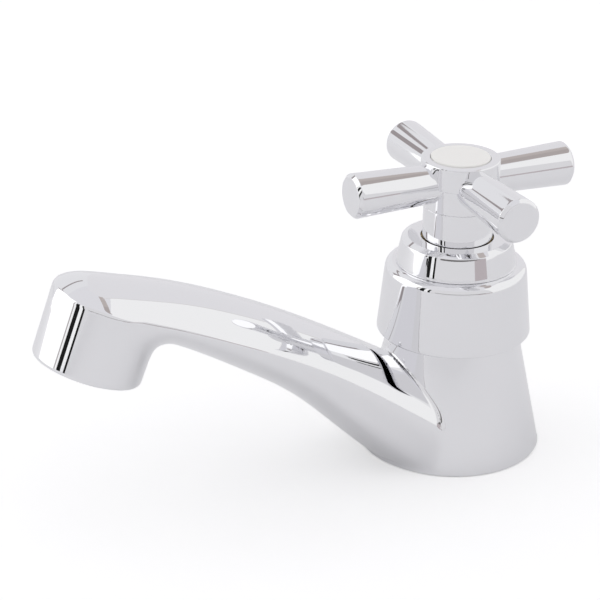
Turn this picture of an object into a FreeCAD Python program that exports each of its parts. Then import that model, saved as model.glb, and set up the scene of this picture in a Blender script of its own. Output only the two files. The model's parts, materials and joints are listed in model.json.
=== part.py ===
"""Cross handle basin tap: a cast body with its spout, a ceramic valve and a four-armed handle.

The origin is on the tap's axis at the deck, +Z is up and the spout points along -Y.
All lengths are millimetres and all angles are degrees.
"""
import FreeCAD
import Part
import os
import Sketcher
from types import SimpleNamespace

Vector = FreeCAD.Vector
Placement = FreeCAD.Placement
Rotation = FreeCAD.Rotation

doc = FreeCAD.newDocument("cross_handle_tap")
sheet = doc.addObject("Spreadsheet::Sheet", "sizes")

# ---------------------------------------------------------------- driving sizes

DRIVING = {
    # casting: round foot, waist under the shroud, and head
    "base_radius": 24.0,
    "waist_radius": 17.1,
    "waist_height": 32.0,
    "body_height": 46.0,
    "head_wall": 3.6,
    "gasket_rim": 2.5,
    "gasket_width": 4.5,
    "gasket_thickness": 1.5,
    # bore of the casting, from the tail up to the headwork
    "socket_depth": 8.0,
    "inlet_hole_radius": 5.5,
    "seat_height": 12.0,
    "chamber_radius": 12.5,
    "chamber_height": 18.0,
    # spout
    "outlet_reach": 102.0,
    "outlet_drop": 23.45,
    "outlet_tilt": 20.0,
    "boss_radius": 13.83,
    "boss_flare": 0.35,
    "neck_setback": 8.0,
    "spout_bulge": 21.5,
    "spout_wall": 3.4,
    "drop_radius": 9.0,
    "drop_roof": 6.0,
    # tail and what clamps it
    "shank_radius": 10.478,
    "shank_bore": 7.2,
    "shank_length": 48.0,
    "shank_chamfer": 1.0,
    "relief_width": 1.5,
    "relief_depth": 0.7,
    "deck_thickness": 18.0,
    "washer_radius": 17.0,
    "deck_washer_thickness": 3.0,
    "friction_washer_thickness": 1.5,
    "backnut_flats": 27.0,
    "backnut_height": 8.0,
    "backnut_bevel": 1.2,
    # shroud and collar
    "shroud_overhang": 3.07,
    "shroud_shoulder_radius": 18.35,
    "shroud_length": 18.8,
    "shroud_plate": 1.8,
    "shroud_wall": 1.4,
    "shroud_round": 1.6,
    "collar_foot_radius": 15.8,
    "collar_rim_radius": 14.4,
    "collar_height": 7.2,
    "collar_bevel": 1.6,
    "collar_bevel_drop": 0.8,
    "collar_plate": 1.8,
    # headwork and ceramic valve
    "neck_radius": 10.0,
    "flange_flats": 24.0,
    "flange_thickness": 2.2,
    "flange_seal_thickness": 1.0,
    "cage_radius": 9.3,
    "cage_wall": 1.3,
    "cage_lift": 1.0,
    "thread_length": 13.0,
    "seat_seal_width": 2.3,
    "seat_seal_thickness": 3.5,
    "disc_thickness": 3.5,
    "port_radius": 6.2,
    "port_core": 1.8,
    "port_angle": 80.0,
    "driver_thickness": 4.0,
    "driver_lug": 1.2,
    "window_width": 9.0,
    "window_height": 4.0,
    # spindle
    "spindle_radius": 4.96,
    "spindle_flange_thickness": 3.0,
    "thrust_washer_thickness": 1.0,
    "spline_radius": 3.95,
    "spline_teeth": 20,
    "spline_notch": 0.4,
    "tang_width": 5.0,
    "tang_depth": 2.4,
    "oring_section": 0.95,
    "oring_spacing": 5.5,
    "oring_height": 3.5,
    "circlip_thickness": 0.8,
    "circlip_radius": 6.2,
    "circlip_depth": 0.6,
    "circlip_gap": 3.0,
    # handle
    "skirt_radius": 9.1,
    "skirt_wall": 1.45,
    "skirt_length": 9.0,
    "skirt_dip": 0.4,
    "spigot_inset": 1.2,
    "hub_waist_length": 6.6,
    "hub_rim_radius": 10.2,
    "hub_rim_height": 6.35,
    "hub_rim_width": 2.45,
    "hub_rim_round": 0.4,
    "arm_lift": 0.2,
    "arm_reach": 31.1,
    "arm_root_radius": 5.05,
    "arm_tip_radius": 5.8,
    "arm_bevel": 0.85,
    "stud_radius": 2.5,
    "stud_length": 3.8,
    "insert_radius": 6.0,
    "insert_length": 8.2,
    "screw_radius": 2.0,
    "screw_head_radius": 3.5,
    "screw_head_height": 2.5,
    "screw_length": 10.0,
    "screw_socket_flats": 3.0,
    "screw_socket_depth": 1.5,
    "screw_web": 2.4,
    "screw_washer_thickness": 0.8,
    "index_seat_depth": 1.8,
    "index_stand": 0.35,
    "index_round": 0.4,
    "index_stub": 1.5,
    # aerator
    "aerator_radius": 12.0,
    "aerator_length": 7.5,
    "aerator_inset": 0.5,
    "aerator_wall": 1.6,
    "aerator_lip": 1.0,
    "aerator_lip_width": 0.9,
    "screen_thickness": 0.6,
    "aerator_gasket_thickness": 1.5,
    "aerator_gasket_width": 3.2,
    "jet_radius": 0.9,
    "jet_spacing": 2.4,
    "mesh_hole_radius": 0.7,
    "mesh_spacing": 1.9,
    # fits
    "thread_clearance": 0.04,
    "running_clearance": 0.04,
    "seam_clearance": 0.05,
    "loose_clearance": 0.35,
}

# The spout is drawn in upright sections, equally spaced from the tap's axis to the neck
# behind the outlet. Each row: name, height of the crown, height of the keel, half width.
SPOUT_SECTIONS = [
    ("heart", 16.0, -24.0, 19.6),
    ("root", 25.8, -7.2, 18.1),
    ("rise", 35.1, 7.4, 16.5),
    ("lower", 43.8, 22.3, 16.0),
    ("middle", 51.3, 33.1, 15.95),
    ("upper", 57.5, 42.3, 15.35),
    ("neck", 62.0, 49.8, 14.05),
]

# Past the neck only the crown goes on. Each row: name, distance past the outlet, height.
CROWN_ENDS = [
    ("outlet", 2.0, 63.4),
    ("nose", 16.0, 63.3),
]

# The water way has a section at each of the spout's: roof, floor, half width.
PASSAGE_SECTIONS = [
    ("mouth", 20.5, 12.4, 8.0),
    ("throat", 22.4, 13.4, 9.5),
    ("climb", 31.5, 14.5, 11.0),
    ("run", 40.2, 26.0, 11.6),
    ("bend", 47.8, 36.8, 11.4),
    ("end", 54.0, 45.8, 10.0),
    ("drop", 58.0, 51.5, 8.0),
]

ARMS = {
    "arm_front": Vector(0, -1, 0),
    "arm_right": Vector(1, 0, 0),
    "arm_back": Vector(0, 1, 0),
    "arm_left": Vector(-1, 0, 0),
}

# Each ring of holes in the aerator has six more holes than the one inside it.
HOLES_PER_RING = 6
JET_RINGS = 3
MESH_RINGS = 4

OVERSHOOT = 1.0
LARGE = 80.0
SQRT_3 = 1.7320508
H_AXIS = -1
V_AXIS = -2


class Size:
    """A number kept together with the sheet expression that gives it."""

    def __init__(self, number, text):
        self.number = float(number)
        self.text = text

    def __add__(self, other):
        other = as_size(other)
        return Size(self.number + other.number, f"({self.text} + {other.text})")

    def __sub__(self, other):
        other = as_size(other)
        return Size(self.number - other.number, f"({self.text} - {other.text})")

    def __rsub__(self, other):
        return as_size(other) - self

    def __mul__(self, other):
        other = as_size(other)
        return Size(self.number * other.number, f"({self.text} * {other.text})")

    def __truediv__(self, other):
        other = as_size(other)
        return Size(self.number / other.number, f"({self.text} / {other.text})")


def as_size(value):
    """A size as it is, or a plain number made into one."""
    if isinstance(value, Size):
        return value
    return Size(value, f"({float(value)})")


def fill_sheet():
    """Write every driving size into a named cell and return them all by name."""
    rows = dict(DRIVING)
    for name, crown, keel, half_width in SPOUT_SECTIONS:
        rows[f"crown_{name}"] = crown
        rows[f"keel_{name}"] = keel
        rows[f"width_{name}"] = half_width
    for name, past, crown in CROWN_ENDS:
        rows[f"past_{name}"] = past
        rows[f"crown_{name}"] = crown
    for name, roof, floor, half_width in PASSAGE_SECTIONS:
        rows[f"roof_{name}"] = roof
        rows[f"floor_{name}"] = floor
        rows[f"width_{name}"] = half_width
    for row, (name, number) in enumerate(rows.items(), start=1):
        sheet.set(f"A{row}", name)
        sheet.set(f"B{row}", str(number))
        sheet.setAlias(f"B{row}", name)
    doc.recompute()
    return {name: Size(number, f"sizes.{name}") for name, number in rows.items()}


named = fill_sheet()
d = SimpleNamespace(**named)


def heights():
    """The heights along the tap's axis, each worked up from the piece below it."""
    z = SimpleNamespace()
    z.cage_foot = d.seat_height + d.cage_lift
    z.fixed_disc = d.seat_height + d.seat_seal_thickness
    z.moving_disc = z.fixed_disc + d.disc_thickness + d.running_clearance
    z.driver = z.moving_disc + d.disc_thickness
    z.spindle_foot = z.driver + d.driver_thickness
    z.thrust_washer = z.spindle_foot + d.spindle_flange_thickness
    z.shoulder = z.thrust_washer + d.thrust_washer_thickness + d.running_clearance
    z.flange = d.body_height + d.flange_seal_thickness
    z.shroud_plate = z.flange + d.flange_thickness
    z.collar = z.shroud_plate + d.shroud_plate
    z.shroud_foot = z.collar - d.shroud_length
    z.collar_top = z.collar + d.collar_height
    z.skirt = z.collar_top - d.skirt_dip
    z.neck_top = z.collar_top - d.collar_plate - d.loose_clearance
    z.circlip = z.neck_top + d.running_clearance * 3
    z.hub = z.skirt + d.skirt_length
    z.hub_step = z.hub + d.hub_waist_length
    z.hub_top = z.hub_step + d.hub_rim_height
    z.arm = z.hub_step + d.arm_lift
    z.index_seat = z.hub_top - d.index_seat_depth
    z.screw_seat = z.arm - d.stud_radius - d.seam_clearance
    z.insert_top = z.screw_seat - d.screw_web
    z.insert_foot = z.insert_top - d.insert_length
    z.spindle_top = z.insert_top - d.loose_clearance
    z.outlet = d.crown_outlet - d.outlet_drop
    return z


z = heights()
cage_inner = d.cage_radius - d.cage_wall
journal_radius = d.spindle_radius + d.running_clearance
index_radius = d.hub_rim_radius - d.hub_rim_width
spline_foot = z.circlip + d.circlip_thickness + d.loose_clearance
nodes = {}


# ---------------------------------------------------------------- building blocks

def keep(name, thing):
    """Name a finished piece and list it among the pieces that are written out."""
    thing.Label = name
    nodes[name] = thing
    return thing


def bind(thing, prop, value):
    """Tie one property to a size."""
    thing.setExpression(prop, as_size(value).text)


def sketch_on(body, name, role, offset=None):
    """An empty sketch on one of the body's own planes, moved along the plane's normal."""
    sketch = body.newObject("Sketcher::SketchObject", name)
    plane = next(face for face in body.Origin.OriginFeatures if face.Role == role)
    sketch.AttachmentSupport = [(plane, "")]
    sketch.MapMode = "FlatFace"
    if offset is not None:
        bind(sketch, "AttachmentOffset.Base.z", offset)
    return sketch


def place_point(sketch, edge, end, across, up):
    """Fix one end of an edge at a distance across and up from the sketch's origin."""
    for kind, axis, value in (("DistanceX", V_AXIS, across), ("DistanceY", H_AXIS, up)):
        if isinstance(value, Size):
            row = sketch.addConstraint(
                Sketcher.Constraint(kind, -1, 1, edge, end, value.number))
            sketch.setExpression(f"Constraints[{row}]", value.text)
        else:
            sketch.addConstraint(Sketcher.Constraint("PointOnObject", edge, end, axis))


def turned(name, corners):
    """A body turned about its own Z axis from corners of (radius, height)."""
    body = doc.addObject("PartDesign::Body", name)
    sketch = sketch_on(body, f"{name}_profile", "XZ_Plane")
    points = [Vector(as_size(r).number, as_size(up).number, 0) for r, up in corners]
    for start, end in zip(points, points[1:] + points[:1]):
        sketch.addGeometry(Part.LineSegment(start, end), False)
    for edge in range(len(points)):
        after = (edge + 1) % len(points)
        sketch.addConstraint(Sketcher.Constraint("Coincident", edge, 2, after, 1))
    for edge, (radius, up) in enumerate(corners):
        place_point(sketch, edge, 1, radius, up)
    spin = body.newObject("PartDesign::Revolution", f"{name}_turned")
    spin.Profile = sketch
    spin.ReferenceAxis = (sketch, ["V_Axis"])
    spin.Angle = 360
    body.Tip = spin
    return body


def ring(name, inner, outer, low, high):
    """A flat ring about the Z axis."""
    return turned(name, [(inner, low), (outer, low), (outer, high), (inner, high)])


def round_rims(body, rims, radius):
    """Round the circular edges of a turned body that lie at (radius, height)."""
    doc.recompute()
    base = body.Tip
    names = []
    for index, edge in enumerate(base.Shape.Edges, start=1):
        if not isinstance(edge.Curve, Part.Circle):
            continue
        for rim, up in rims:
            off = abs(edge.Curve.Radius - rim.number) + abs(edge.Curve.Center.z - up.number)
            if off < 0.01:
                names.append(f"Edge{index}")
    fillet = body.newObject("PartDesign::Fillet", f"{body.Name}_rounded")
    fillet.Base = (base, names)
    bind(fillet, "Radius", radius)
    body.Tip = fillet
    return body


def primitive(kind, name, at=(0, 0, 0), **sizes):
    """A simple solid with its sizes and its corner or centre tied to the sheet."""
    solid = doc.addObject(kind, name)
    for prop, value in sizes.items():
        bind(solid, prop, value)
    for axis, value in zip("xyz", at):
        bind(solid, f"Placement.Base.{axis}", value)
    return solid


def block(name, length, width, low, height):
    """A box centred on the Z axis, from a low level upwards."""
    corner = (length * -0.5, width * -0.5, low)
    return primitive("Part::Box", name, corner, Length=length, Width=width, Height=height)


def hexagon(name, flats, low, height):
    """A hexagonal prism about the Z axis, given across its flats."""
    circle = flats / SQRT_3
    return primitive("Part::Prism", name, (0, 0, low), Polygon=6, Circumradius=circle,
                     Height=height)


def joined(name, *solids):
    """Several solids made into one."""
    whole = doc.addObject("Part::MultiFuse", name)
    whole.Shapes = list(solids)
    return whole


def common(name, *solids):
    """What several solids share."""
    part = doc.addObject("Part::MultiCommon", name)
    part.Shapes = list(solids)
    return part


def less(name, base, *tools):
    """The base with each tool taken out of it in turn."""
    for step, tool in enumerate(tools, start=1):
        last = step == len(tools)
        result = doc.addObject("Part::Cut", name if last else f"{name}_step_{step}")
        result.Base = base
        result.Tool = tool
        base = result
    return base


def aim_at_outlet(thing):
    """Stand a piece on the middle of the outlet, leaning as the outlet leans."""
    lean = Rotation(Vector(-1, 0, 0), d.outlet_tilt.number)
    thing.Placement = Placement(Vector(0, 0, 0), lean)
    bind(thing, "Placement.Base.y", d.outlet_reach * -1)
    bind(thing, "Placement.Base.z", z.outlet)
    bind(thing, "Placement.Rotation.Angle", d.outlet_tilt)
    return thing


# ---------------------------------------------------------------- spout sections

def spout_section(body, name, station, half_width, top, bottom, roof_radius, keel_radius):
    """An upright outline across the spout: two straight sides under a roof and over a keel.

    A roof or keel with a radius is an arc with its middle at the given height, and one
    without a radius is straight.
    """
    sketch = sketch_on(body, name, "XZ_Plane", station)
    half = half_width.number
    sag = {}
    for end, radius in (("roof", roof_radius), ("keel", keel_radius)):
        sag[end] = 0.0
        if radius is not None:
            sag[end] = radius.number - (radius.number ** 2 - half ** 2) ** 0.5
    high = top.number - sag["roof"]
    low = bottom.number + sag["keel"]
    corners = [Vector(half, high, 0), Vector(-half, high, 0),
               Vector(-half, low, 0), Vector(half, low, 0)]
    middles = {0: Vector(0, top.number, 0), 2: Vector(0, bottom.number, 0)}
    radii = {0: roof_radius, 2: keel_radius}
    for edge in range(4):
        start, end = corners[edge], corners[(edge + 1) % 4]
        if radii.get(edge) is None:
            sketch.addGeometry(Part.LineSegment(start, end), False)
        else:
            sketch.addGeometry(Part.Arc(start, middles[edge], end), False)
    for edge in range(4):
        after = (edge + 1) % 4
        sketch.addConstraint(Sketcher.Constraint("Coincident", edge, 2, after, 1))
    for side, value in ((1, half_width * -1), (3, half_width)):
        sketch.addConstraint(Sketcher.Constraint("Vertical", side))
        row = sketch.addConstraint(
            Sketcher.Constraint("DistanceX", -1, 1, side, 1, value.number))
        sketch.setExpression(f"Constraints[{row}]", value.text)
    for edge, level, sign in ((0, top, -1), (2, bottom, 1)):
        radius = radii[edge]
        if radius is None:
            sketch.addConstraint(Sketcher.Constraint("Horizontal", edge))
            row = sketch.addConstraint(
                Sketcher.Constraint("DistanceY", -1, 1, edge, 1, level.number))
            sketch.setExpression(f"Constraints[{row}]", level.text)
            continue
        row = sketch.addConstraint(Sketcher.Constraint("Radius", edge, radius.number))
        sketch.setExpression(f"Constraints[{row}]", radius.text)
        sketch.addConstraint(Sketcher.Constraint("PointOnObject", edge, 3, V_AXIS))
        centre = level + radius * sign
        row = sketch.addConstraint(
            Sketcher.Constraint("DistanceY", -1, 1, edge, 3, centre.number))
        sketch.setExpression(f"Constraints[{row}]", centre.text)
    return sketch


def lofted(name, outlines):
    """A body lofted through sections, each given as the arguments of spout_section."""
    body = doc.addObject("PartDesign::Body", name)
    sketches = [spout_section(body, f"{name}_{label}", *outline) for label, *outline in outlines]
    loft = body.newObject("PartDesign::AdditiveLoft", f"{name}_loft")
    loft.Profile = sketches[0]
    loft.Sections = sketches[1:]
    body.Tip = loft
    return body


def station(index):
    """How far a numbered section stands from the tap's axis."""
    neck = d.outlet_reach - d.neck_setback
    return neck * (index / (len(SPOUT_SECTIONS) - 1))


def spout_crown():
    """Everything under the spout's arched top, from the tap's axis to past the nose."""
    wide = d.spout_bulge * 0.95
    floor = as_size(-LARGE)
    outlines = []
    for index, (name, *_) in enumerate(SPOUT_SECTIONS):
        outlines.append((name, station(index), wide, named[f"crown_{name}"], floor,
                         d.spout_bulge, None))
    for name, *_ in CROWN_ENDS:
        outlines.append((name, d.outlet_reach + named[f"past_{name}"], wide,
                         named[f"crown_{name}"], floor, d.spout_bulge, None))
    return lofted("spout_crown", outlines)


def spout_hull():
    """Everything over the spout's rounded keel and between its sides, up to the neck."""
    roof = as_size(LARGE)
    outlines = []
    for index, (name, *_) in enumerate(SPOUT_SECTIONS):
        outlines.append((name, station(index), named[f"width_{name}"], roof,
                         named[f"keel_{name}"], None, d.spout_bulge))
    return lofted("spout_hull", outlines)


def spout_passage():
    """The water way, from the valve chamber to over the outlet."""
    bulge = d.spout_bulge - d.spout_wall
    outlines = []
    for index, (name, *_) in enumerate(PASSAGE_SECTIONS):
        outlines.append((name, station(index), named[f"width_{name}"], named[f"roof_{name}"],
                         named[f"floor_{name}"], bulge, bulge))
    return lofted("spout_passage", outlines)


# ---------------------------------------------------------------- casting

def tap_body():
    """The casting: tapered foot, spout, outlet boss, and all its water ways and threads."""
    head_radius = d.shank_radius + d.head_wall
    cone = turned("body_cone", [
        (0, 0), (d.base_radius, 0), (d.waist_radius, d.waist_height),
        (head_radius, d.body_height), (0, d.body_height)])
    boss_length = d.outlet_drop + d.boss_radius * 0.35
    boss = aim_at_outlet(primitive(
        "Part::Cone", "outlet_boss", Radius1=d.boss_radius, Height=boss_length,
        Radius2=d.boss_radius + d.boss_flare))
    blank = joined("spout_blank", spout_hull(), boss)
    spout = common("spout", blank, spout_crown())
    solid = joined("body_solid", cone, spout)
    below = primitive("Part::Box", "below_deck", (-LARGE, -LARGE, -LARGE),
                      Length=2 * LARGE, Width=2 * LARGE, Height=LARGE)
    return keep("tap_body", less("tap_body", solid, below, body_bore(), spout_passage(),
                                 outlet_bore(), gasket_recess()))


def body_bore():
    """The bore on the tap's axis: tail socket, inlet hole, valve chamber and head thread."""
    thread = d.shank_radius + d.thread_clearance
    chamber_top = d.seat_height + d.chamber_height
    taper = d.chamber_radius - thread
    return turned("body_bore", [
        (0, as_size(-OVERSHOOT)), (thread, as_size(-OVERSHOOT)),
        (thread, d.socket_depth), (d.inlet_hole_radius, d.socket_depth),
        (d.inlet_hole_radius, d.seat_height), (d.chamber_radius, d.seat_height),
        (d.chamber_radius, chamber_top), (thread, chamber_top + taper),
        (thread, d.body_height + OVERSHOOT), (0, d.body_height + OVERSHOOT)])


def outlet_bore():
    """The threaded recess for the aerator, with the narrower drop from the spout above it."""
    seat = d.aerator_inset + d.aerator_length + d.aerator_gasket_thickness
    thread = d.aerator_radius + d.thread_clearance
    return aim_at_outlet(turned("outlet_bore", [
        (0, as_size(-OVERSHOOT)), (thread, as_size(-OVERSHOOT)), (thread, seat),
        (d.drop_radius, seat), (d.drop_radius, d.outlet_drop - d.drop_roof),
        (0, d.outlet_drop - d.drop_roof)]))


def gasket_recess():
    """The round groove under the base that holds the sealing ring."""
    outer = d.base_radius - d.gasket_rim
    return ring("gasket_recess", outer - d.gasket_width, outer, as_size(-OVERSHOOT),
                d.gasket_thickness)


# ---------------------------------------------------------------- tail and fastenings

def tail():
    """The threaded tail and what clamps it: sealing ring, two washers and a backnut."""
    foot = d.shank_length * -1
    top = d.deck_thickness * -1
    middle = top - d.deck_washer_thickness
    bottom = middle - d.friction_washer_thickness
    nut_foot = bottom - d.backnut_height
    # A run-out groove parts the backnut's thread from the connector's thread.
    relief_top = nut_foot - d.loose_clearance
    relief_foot = relief_top - d.relief_width
    relief_radius = d.shank_radius - d.relief_depth
    keep("inlet_shank", turned("inlet_shank", [
        (d.shank_bore, foot), (d.shank_radius - d.shank_chamfer, foot),
        (d.shank_radius, foot + d.shank_chamfer), (d.shank_radius, relief_foot),
        (relief_radius, relief_foot), (relief_radius, relief_top),
        (d.shank_radius, relief_top), (d.shank_radius, d.socket_depth),
        (d.shank_bore, d.socket_depth)]))
    outer = d.base_radius - d.gasket_rim - d.seam_clearance
    inner = d.base_radius - d.gasket_rim - d.gasket_width + d.seam_clearance
    low = as_size(0)
    keep("base_gasket", ring("base_gasket", inner, outer, low, d.gasket_thickness))

    hole = d.shank_radius + d.loose_clearance
    keep("deck_washer", ring("deck_washer", hole, d.washer_radius, middle, top))
    keep("friction_washer", ring("friction_washer", hole, d.washer_radius, bottom, middle))
    blank = hexagon("backnut_hexagon", d.backnut_flats, nut_foot, d.backnut_height)
    corner = d.backnut_flats / SQRT_3
    shoulder = d.backnut_bevel
    bevels = turned("backnut_bevels", [
        (0, nut_foot), (corner - shoulder, nut_foot), (corner, nut_foot + shoulder * 0.5),
        (corner, bottom - shoulder * 0.5), (corner - shoulder, bottom), (0, bottom)])
    thread = primitive("Part::Cylinder", "backnut_thread", (0, 0, nut_foot - OVERSHOOT),
                       Radius=d.shank_radius + d.thread_clearance,
                       Height=d.backnut_height + 2 * OVERSHOOT)
    keep("backnut", less("backnut", common("backnut_blank", blank, bevels), thread))


# ---------------------------------------------------------------- shroud and collar

def covers():
    """The bell shroud over the head of the casting, and the screwed collar that holds it."""
    foot_radius = d.waist_radius + d.shroud_overhang
    shoulder = d.shroud_shoulder_radius
    hole = d.neck_radius + d.loose_clearance
    shroud = turned("shroud", [
        (foot_radius - d.shroud_wall, z.shroud_foot), (foot_radius, z.shroud_foot),
        (shoulder, z.collar), (hole, z.collar), (hole, z.shroud_plate),
        (shoulder - d.shroud_wall, z.shroud_plate)])
    keep("shroud", round_rims(shroud, [(shoulder, z.collar)], d.shroud_round))

    mouth = d.skirt_radius + d.loose_clearance
    thread = d.neck_radius + d.thread_clearance
    rim = d.collar_rim_radius
    bevel_foot = z.collar_top - d.collar_bevel_drop
    under = z.collar_top - d.collar_plate
    keep("collar", turned("collar", [
        (thread, z.collar), (d.collar_foot_radius, z.collar), (rim, bevel_foot),
        (rim - d.collar_bevel, z.collar_top), (mouth, z.collar_top), (mouth, under),
        (thread, under)]))


# ---------------------------------------------------------------- headwork

def headwork():
    """The brass valve body: windowed cage, thread, hexagon and collar neck, with its bore."""
    thread = d.shank_radius
    thread_foot = d.body_height - d.thread_length
    blank = turned("headwork_blank", [
        (0, z.cage_foot), (d.cage_radius, z.cage_foot), (d.cage_radius, thread_foot),
        (thread, thread_foot), (thread, z.shroud_plate), (d.neck_radius, z.shroud_plate),
        (d.neck_radius, z.neck_top), (0, z.neck_top)])
    flange = hexagon("headwork_hexagon", d.flange_flats, z.flange, d.flange_thickness)
    bore = turned("headwork_bore", [
        (0, z.cage_foot - OVERSHOOT), (cage_inner, z.cage_foot - OVERSHOOT),
        (cage_inner, z.shoulder), (journal_radius, z.shoulder),
        (journal_radius, z.neck_top + OVERSHOOT), (0, z.neck_top + OVERSHOOT)])
    window = block("headwork_window", d.window_width, d.cage_radius * 3, z.driver,
                   d.window_height)
    solid = joined("headwork_solid", blank, flange)
    keep("valve_headwork", less("valve_headwork", solid, bore, window))
    head_radius = d.shank_radius + d.head_wall
    keep("flange_seal", ring("flange_seal", d.shank_radius + d.seam_clearance,
                             head_radius - d.seam_clearance, d.body_height, z.flange))


def ports(name, low, turn):
    """Two opposite wedge-shaped openings through a ceramic disc, turned to an angle."""
    core = primitive("Part::Cylinder", f"{name}_core", (0, 0, low - OVERSHOOT),
                     Radius=d.port_core, Height=d.disc_thickness + 2 * OVERSHOOT)
    wedges = []
    for side in (0, 180):
        wedge = primitive("Part::Cylinder", f"{name}_wedge_{side}", (0, 0, low - OVERSHOOT),
                          Radius=d.port_radius, Angle=d.port_angle,
                          Height=d.disc_thickness + 2 * OVERSHOOT)
        wedge.Placement = Placement(Vector(0, 0, 0), Rotation(Vector(0, 0, 1), 1))
        bind(wedge, "Placement.Base.z", low - OVERSHOOT)
        bind(wedge, "Placement.Rotation.Angle", d.port_angle * -0.5 + (turn + side))
        wedges.append(wedge)
    return less(f"{name}_openings", joined(f"{name}_wedges", *wedges), core)


def ceramic_valve():
    """Seat seal, fixed and moving ceramic discs, and the driver that turns the upper one."""
    seal_outer = cage_inner - d.seam_clearance
    keep("seat_seal", ring("seat_seal", seal_outer - d.seat_seal_width, seal_outer,
                           d.seat_height, z.fixed_disc))
    fixed = primitive("Part::Cylinder", "fixed_disc_blank", (0, 0, z.fixed_disc),
                      Radius=seal_outer, Height=d.disc_thickness)
    keep("fixed_disc", less("fixed_disc", fixed, ports("fixed_disc", z.fixed_disc, 0)))

    moving_radius = cage_inner - d.loose_clearance
    notch_width = d.port_core * 0.9
    notch_low = z.driver - d.driver_lug
    moving = primitive("Part::Cylinder", "moving_disc_blank", (0, 0, z.moving_disc),
                       Radius=moving_radius, Height=d.disc_thickness)
    notch = block("moving_disc_notch", moving_radius * 3, notch_width, notch_low,
                  d.driver_lug + OVERSHOOT)
    keep("moving_disc", less("moving_disc", moving, ports("moving_disc", z.moving_disc, 90),
                             notch))

    lug_width = notch_width - d.seam_clearance * 2
    wheel = primitive("Part::Cylinder", "driver_wheel", (0, 0, z.driver),
                      Radius=moving_radius, Height=d.driver_thickness)
    lug = block("driver_lug_bar", moving_radius * 1.9, lug_width,
                notch_low + d.seam_clearance, d.driver_lug)
    slot = block("driver_slot", moving_radius * 3, d.tang_width + d.seam_clearance * 2,
                 z.spindle_foot - d.tang_depth - d.seam_clearance, d.tang_depth + OVERSHOOT)
    flow = ports("driver", z.driver, 90)
    keep("disc_driver", less("disc_driver", joined("driver_solid", wheel, lug), slot, flow))


# ---------------------------------------------------------------- spindle

def oring_levels():
    """Heights of the two sealing rings on the spindle."""
    lower = z.shoulder + d.oring_height
    return [lower, lower + d.oring_spacing]


def spindle():
    """The spindle: tang, flange, two seal grooves, circlip groove and splined end."""
    flange = cage_inner - d.loose_clearance * 1.5
    journal = d.spindle_radius
    groove = journal - d.oring_section * 2
    corners = [(0, z.spindle_foot), (flange, z.spindle_foot), (flange, z.thrust_washer),
               (journal, z.thrust_washer)]
    for level in oring_levels():
        low = level - d.oring_section * 1.2
        high = level + d.oring_section * 1.2
        corners += [(journal, low), (groove, low), (groove, high), (journal, high)]
    clip_low = z.circlip - d.seam_clearance
    clip_high = z.circlip + d.circlip_thickness + d.seam_clearance
    waist = journal - d.circlip_depth
    hole_foot = z.spindle_top - d.screw_length
    thread = d.screw_radius + d.thread_clearance
    corners += [(journal, clip_low), (waist, clip_low), (waist, clip_high),
                (journal, clip_high), (journal, spline_foot), (d.spline_radius, spline_foot),
                (d.spline_radius, z.spindle_top), (thread, z.spindle_top),
                (thread, hole_foot), (0, hole_foot)]
    shaft = turned("spindle_shaft", corners)
    length = z.spindle_top - spline_foot
    teeth_round(shaft, "PartDesign::Pocket", d.spline_notch, spline_foot, length)
    tang = block("spindle_tang", flange * 1.9, d.tang_width,
                 z.spindle_foot - d.tang_depth, d.tang_depth)
    keep("spindle", joined("spindle", shaft, tang))


def teeth_round(body, kind, radius, low, length):
    """A round notch or rib on the spline circle, repeated once for each tooth."""
    sketch = sketch_on(body, f"{body.Name}_tooth", "XY_Plane", low)
    place = Vector(d.spline_radius.number, 0, 0)
    sketch.addGeometry(Part.Circle(place, Vector(0, 0, 1), radius.number), False)
    sketch.addConstraint(Sketcher.Constraint("PointOnObject", 0, 3, H_AXIS))
    row = sketch.addConstraint(
        Sketcher.Constraint("DistanceX", -1, 1, 0, 3, d.spline_radius.number))
    sketch.setExpression(f"Constraints[{row}]", d.spline_radius.text)
    row = sketch.addConstraint(Sketcher.Constraint("Radius", 0, radius.number))
    sketch.setExpression(f"Constraints[{row}]", radius.text)
    tooth = body.newObject(kind, f"{body.Name}_cut")
    tooth.Profile = sketch
    tooth.Reversed = kind == "PartDesign::Pocket"
    bind(tooth, "Length", length)
    doc.recompute()
    pattern = body.newObject("PartDesign::PolarPattern", f"{body.Name}_teeth")
    pattern.Originals = [tooth]
    pattern.Axis = (sketch, ["N_Axis"])
    pattern.Angle = 360
    bind(pattern, "Occurrences", d.spline_teeth)
    body.Tip = pattern


def spindle_fittings():
    """Sealing rings in their grooves, thrust washer over the flange, and the circlip."""
    rings = []
    middle = d.spindle_radius - d.oring_section
    for index, level in enumerate(oring_levels(), start=1):
        rings.append(primitive("Part::Torus", f"spindle_seal_{index}", (0, 0, level),
                               Radius1=middle, Radius2=d.oring_section))
    seals = doc.addObject("Part::Compound", "spindle_seals")
    seals.Links = rings
    keep("spindle_seals", seals)
    bore = journal_radius + d.seam_clearance
    keep("thrust_washer", ring("thrust_washer", bore, cage_inner - d.loose_clearance,
                               z.thrust_washer, z.thrust_washer + d.thrust_washer_thickness))
    waist = d.spindle_radius - d.circlip_depth + d.seam_clearance
    whole = ring("circlip_ring", waist, d.circlip_radius, z.circlip,
                 z.circlip + d.circlip_thickness)
    gap = primitive("Part::Box", "circlip_mouth",
                    (0, d.circlip_gap * -0.5, z.circlip - OVERSHOOT),
                    Length=d.circlip_radius * 2, Width=d.circlip_gap,
                    Height=d.circlip_thickness + 2 * OVERSHOOT)
    keep("spindle_circlip", less("spindle_circlip", whole, gap))


# ---------------------------------------------------------------- handle

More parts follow.
